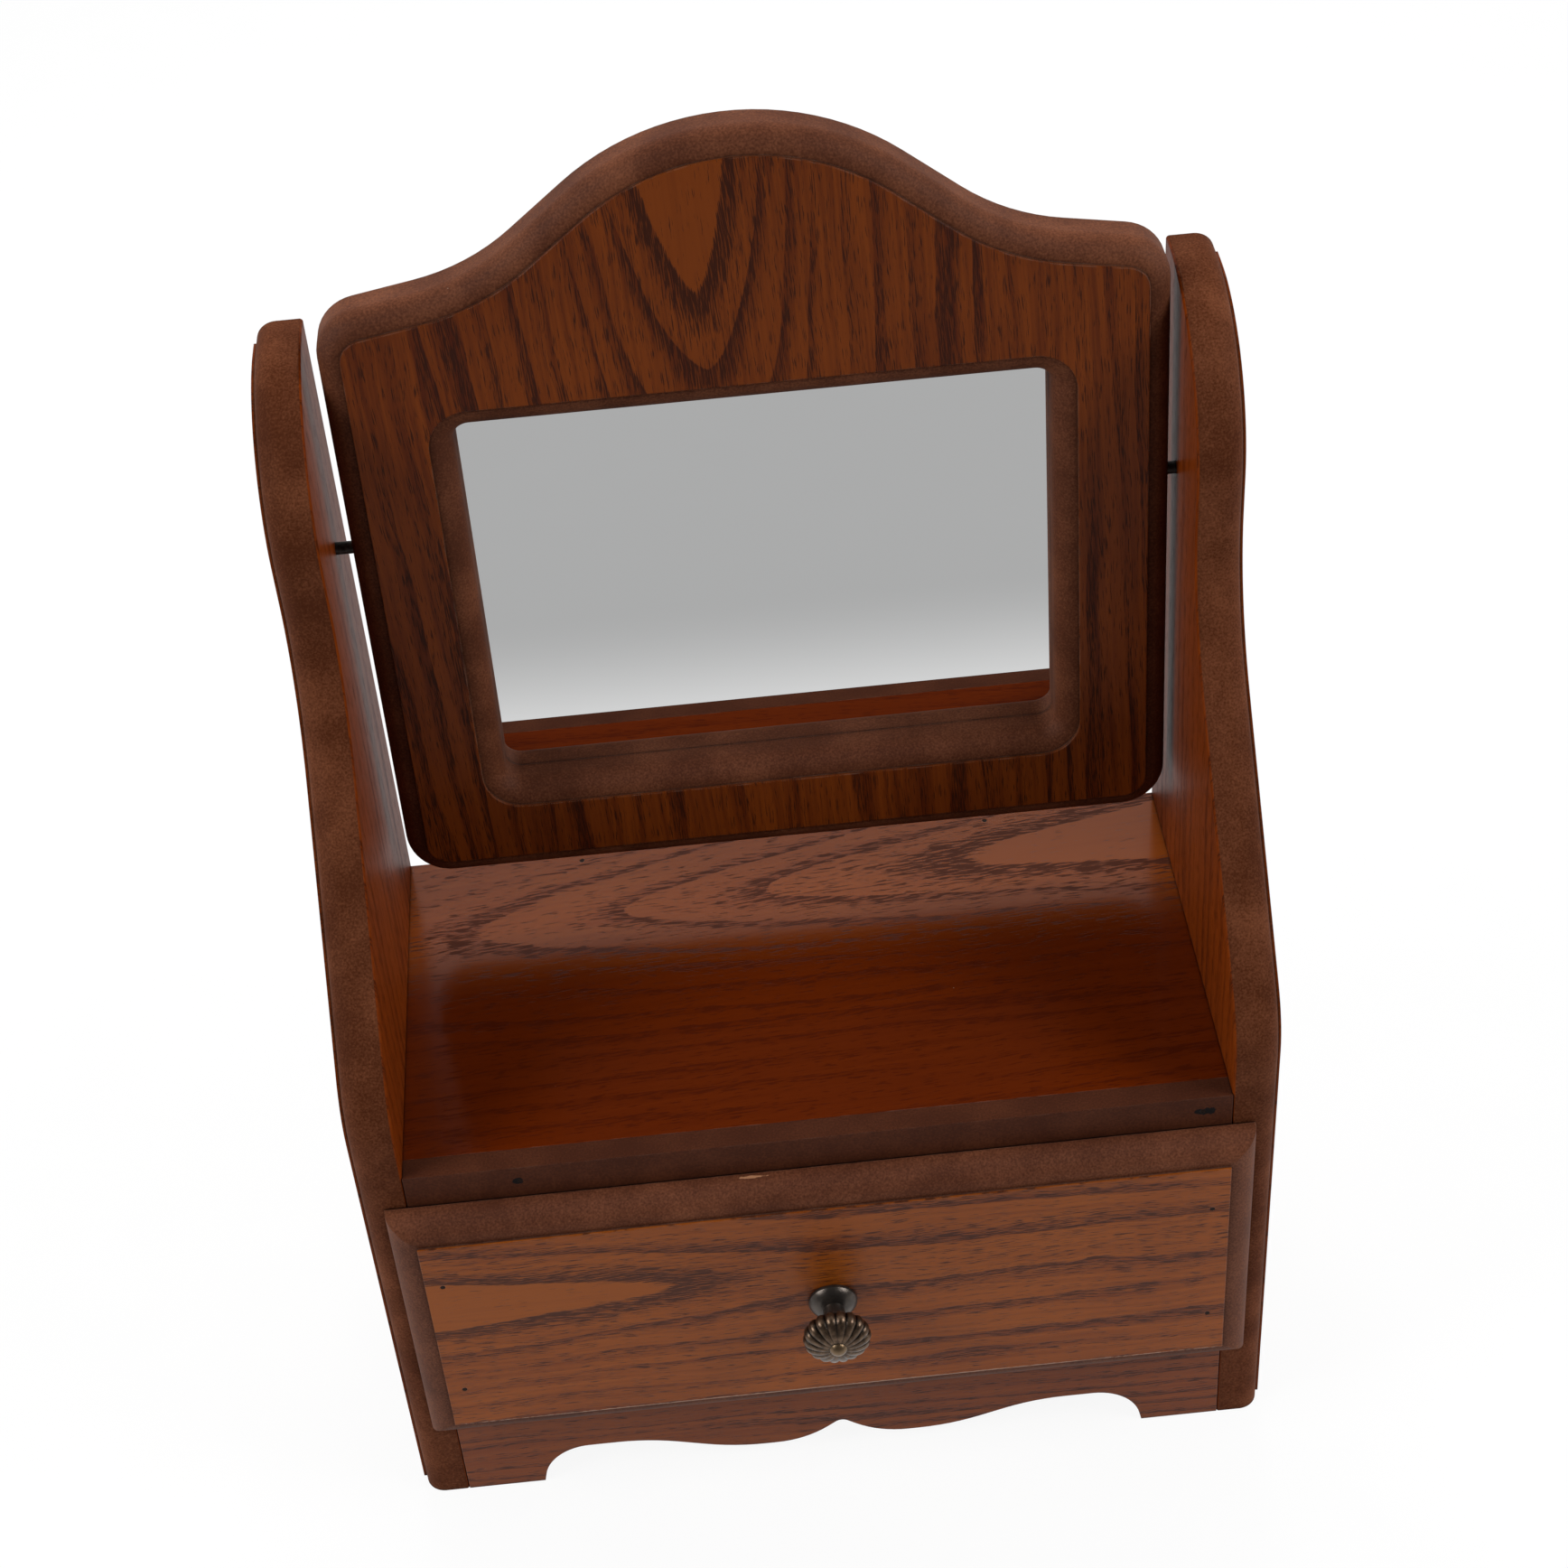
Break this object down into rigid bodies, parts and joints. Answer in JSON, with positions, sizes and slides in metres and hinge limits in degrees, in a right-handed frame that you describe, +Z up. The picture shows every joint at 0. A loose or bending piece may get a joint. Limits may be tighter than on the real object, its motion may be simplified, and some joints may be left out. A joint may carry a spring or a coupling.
{
  "type": "vanity mirror with drawer",
  "caption": "Table-top vanity mirror of stained wood: scroll side panels carry a shelf, a sliding drawer with a ribbed knob, and an arched framed mirror that tilts on pins.",
  "frame": {"origin": "on the surface that it stands on, under the middle of the whole object", "axes": "+Z up, +X to the viewer's right, the drawer opens towards -Y"},
  "size_m": [0.22, 0.1346, 0.3326],
  "materials": {
    "panel_wood": "stained, satin lacquer",
    "shelf_wood": "stained veneer, gloss lacquer",
    "edge_wood": "stained, satin lacquer",
    "apron_wood": "stained veneer, satin lacquer",
    "inner_wood": "thin stain, bare",
    "drawer_wood": "stained veneer, satin lacquer",
    "frame_wood": "stained veneer, satin lacquer",
    "hardboard": "smooth hardboard",
    "bronze": "dark antique bronze, rubbed on the ribs",
    "steel": "plain",
    "brad_steel": "dark, stopped with filler",
    "silvered_glass": "silvered"
  },
  "bodies": {
    "case": {"left_side_panel": "panel_wood", "right_side_panel": "panel_wood", "shelf": "shelf_wood", "shelf_front_rail": "edge_wood", "apron": "apron_wood", "bottom_board": "inner_wood", "back_board": "panel_wood", "left_pivot_pin": "steel", "right_pivot_pin": "steel", "shelf_back_brads": "brad_steel", "rail_brads": "brad_steel", "panel_brads": "brad_steel"},
    "drawer": {"drawer_front": "drawer_wood", "drawer_left_side": "inner_wood", "drawer_right_side": "inner_wood", "drawer_back": "inner_wood", "drawer_bottom": "hardboard", "drawer_knob": "bronze", "knob_screw": "steel", "drawer_front_brads": "brad_steel", "drawer_back_brads": "brad_steel"},
    "mirror": {"mirror_frame": "frame_wood", "mirror_glass": "silvered_glass", "mirror_backing": "hardboard", "backing_tacks": "brad_steel"}
  },
  "joints": [
    {"name": "drawer_slide", "type": "slide", "parent": "case", "child": "drawer", "axis": [0, -1, 0], "range_m": [0, 0.085]},
    {"name": "mirror_tilt", "type": "hinge", "parent": "case", "child": "mirror", "pos_m": [0, 0.04856, 0.2364], "axis": [1, 0, 0], "continuous": true}
  ]
}
